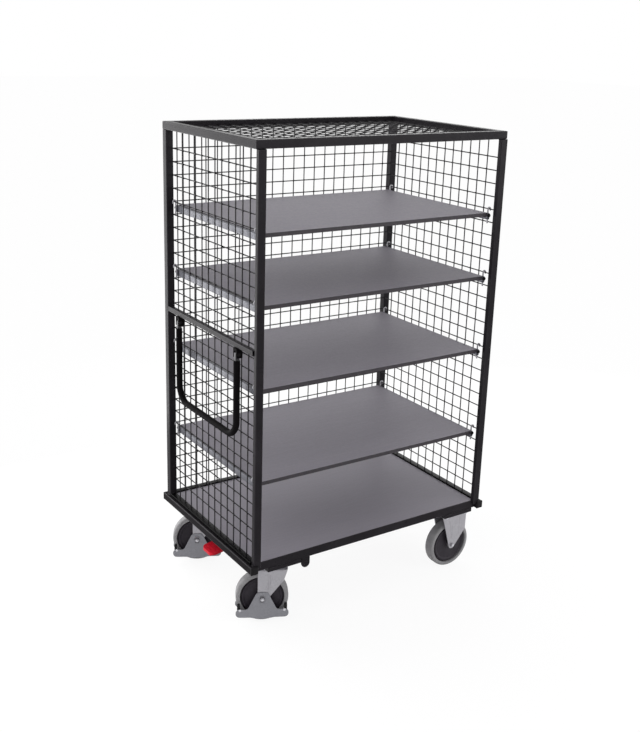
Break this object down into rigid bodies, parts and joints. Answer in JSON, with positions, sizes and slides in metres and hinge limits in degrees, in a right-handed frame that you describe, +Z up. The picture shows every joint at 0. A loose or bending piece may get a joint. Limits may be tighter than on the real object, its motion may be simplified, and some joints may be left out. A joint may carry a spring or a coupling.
{
  "type": "shelf trolley",
  "caption": "Wire-mesh shelf trolley with an open front, hook-in shelves, a fold-down push handle, swivel and fixed castors, foot guards and a pedal brake.",
  "frame": {"origin": "on the floor under the middle of the trolley", "axes": "+X along the length away from the handle, +Y from the open front to the back, +Z up"},
  "size_m": [1.11, 0.74, 1.815],
  "materials": {
    "frame_black": "anthracite powder coat",
    "board_grey": "grey laminate on board",
    "zinc": "bright zinc plate",
    "guard_grey": "grey coated sheet",
    "tyre_grey": "grey solid rubber",
    "wheel_dark": "dark grey moulding",
    "rubber_black": "black rubber",
    "plastic_black": "black moulding",
    "pedal_red": "red moulding"
  },
  "bodies": {
    "chassis": {"base_end_rails": "frame_black", "base_end_caps": "plastic_black", "base_side_rail_front": "frame_black", "base_side_rail_back": "frame_black", "deck_board": "board_grey", "castor_beam_swivel": "frame_black", "castor_beam_fixed": "frame_black", "roof_rail_front": "frame_black", "roof_rail_back": "frame_black", "roof_rail_left": "frame_black", "roof_rail_right": "frame_black", "post_front_left": "frame_black", "post_back_left": "frame_black", "post_front_right": "frame_black", "post_back_right": "frame_black", "mesh_left": "frame_black", "mesh_right": "frame_black", "mesh_back": "frame_black", "mesh_roof": "frame_black", "panel_bottom_rails": "frame_black", "handle_cross_rail": "frame_black", "handle_pivot_blocks": "plastic_black", "handle_pivot_pins": "zinc", "swivel_plates": "zinc", "fixed_forks": "zinc", "fixed_axles": "zinc", "brake_lugs": "frame_black"},
    "swivel_front": {"swivel_fork_front": "zinc", "swivel_axle_front": "zinc", "foot_guard_front": "guard_grey", "guard_bumpers_front": "rubber_black"},
    "wheel_swivel_front": {"wheel_core_swivel_front": "wheel_dark", "tyre_swivel_front": "tyre_grey"},
    "wheel_fixed_front": {"wheel_core_fixed_front": "wheel_dark", "tyre_fixed_front": "tyre_grey"},
    "plunger_front": {"brake_plunger_front": "zinc"},
    "swivel_back": {"swivel_fork_back": "zinc", "swivel_axle_back": "zinc", "foot_guard_back": "guard_grey", "guard_bumpers_back": "rubber_black"},
    "wheel_swivel_back": {"wheel_core_swivel_back": "wheel_dark", "tyre_swivel_back": "tyre_grey"},
    "wheel_fixed_back": {"wheel_core_fixed_back": "wheel_dark", "tyre_fixed_back": "tyre_grey"},
    "plunger_back": {"brake_plunger_back": "zinc"},
    "pedal": {"brake_shaft": "frame_black", "brake_lever": "frame_black", "brake_pedal": "pedal_red"},
    "handle": {"handle_tube": "frame_black", "handle_tongues": "zinc"},
    "shelf_1": {"shelf_board_1": "board_grey", "shelf_hook_rails_1": "zinc"},
    "shelf_2": {"shelf_board_2": "board_grey", "shelf_hook_rails_2": "zinc"},
    "shelf_3": {"shelf_board_3": "board_grey", "shelf_hook_rails_3": "zinc"},
    "shelf_4": {"shelf_board_4": "board_grey", "shelf_hook_rails_4": "zinc"}
  },
  "joints": [
    {"name": "swivel_front_turn", "type": "hinge", "parent": "chassis", "child": "swivel_front", "pos_m": [-0.402, -0.269, 0.2], "axis": [0, 0, 1], "continuous": true},
    {"name": "wheel_swivel_front_spin", "type": "hinge", "parent": "swivel_front", "child": "wheel_swivel_front", "pos_m": [-0.43922, -0.24954, 0.1], "axis": [0.4633, 0.8862, 0], "continuous": true},
    {"name": "wheel_fixed_front_spin", "type": "hinge", "parent": "chassis", "child": "wheel_fixed_front", "pos_m": [0.442, -0.286, 0.1], "axis": [0, 1, 0], "continuous": true},
    {"name": "plunger_front_press", "type": "slide", "parent": "swivel_front", "child": "plunger_front", "axis": [0, 0, -1], "range_m": [0, 0.00974]},
    {"name": "swivel_back_turn", "type": "hinge", "parent": "chassis", "child": "swivel_back", "pos_m": [-0.402, 0.269, 0.2], "axis": [0, 0, 1], "continuous": true},
    {"name": "wheel_swivel_back_spin", "type": "hinge", "parent": "swivel_back", "child": "wheel_swivel_back", "pos_m": [-0.43922, 0.28846, 0.1], "axis": [0.4633, 0.8862, 0], "continuous": true},
    {"name": "wheel_fixed_back_spin", "type": "hinge", "parent": "chassis", "child": "wheel_fixed_back", "pos_m": [0.442, 0.286, 0.1], "axis": [0, 1, 0], "continuous": true},
    {"name": "plunger_back_press", "type": "slide", "parent": "swivel_back", "child": "plunger_back", "axis": [0, 0, -1], "range_m": [0, 0.00974]},
    {"name": "pedal_press", "type": "hinge", "parent": "chassis", "child": "pedal", "pos_m": [-0.3095, 0, 0.242], "axis": [0, -1, 0], "range_deg": [0, 6], "stiffness_Nm_per_rad": 8, "springref_deg": -17.19},
    {"name": "handle_fold", "type": "hinge", "parent": "chassis", "child": "handle", "pos_m": [-0.543, 0, 1.066], "axis": [0, 1, 0], "range_deg": [0, 90]},
    {"name": "shelf_1_lift", "type": "slide", "parent": "chassis", "child": "shelf_1", "axis": [0, 0, 1], "range_m": [0, 0.02]},
    {"name": "shelf_2_lift", "type": "slide", "parent": "chassis", "child": "shelf_2", "axis": [0, 0, 1], "range_m": [0, 0.02]},
    {"name": "shelf_3_lift", "type": "slide", "parent": "chassis", "child": "shelf_3", "axis": [0, 0, 1], "range_m": [0, 0.02]},
    {"name": "shelf_4_lift", "type": "slide", "parent": "chassis", "child": "shelf_4", "axis": [0, 0, 1], "range_m": [0, 0.02]}
  ],
  "couplings": [
    {"joint": "plunger_front_press", "follows": "pedal_press", "m_per_rad": 0.093},
    {"joint": "plunger_back_press", "follows": "pedal_press", "m_per_rad": 0.093}
  ]
}
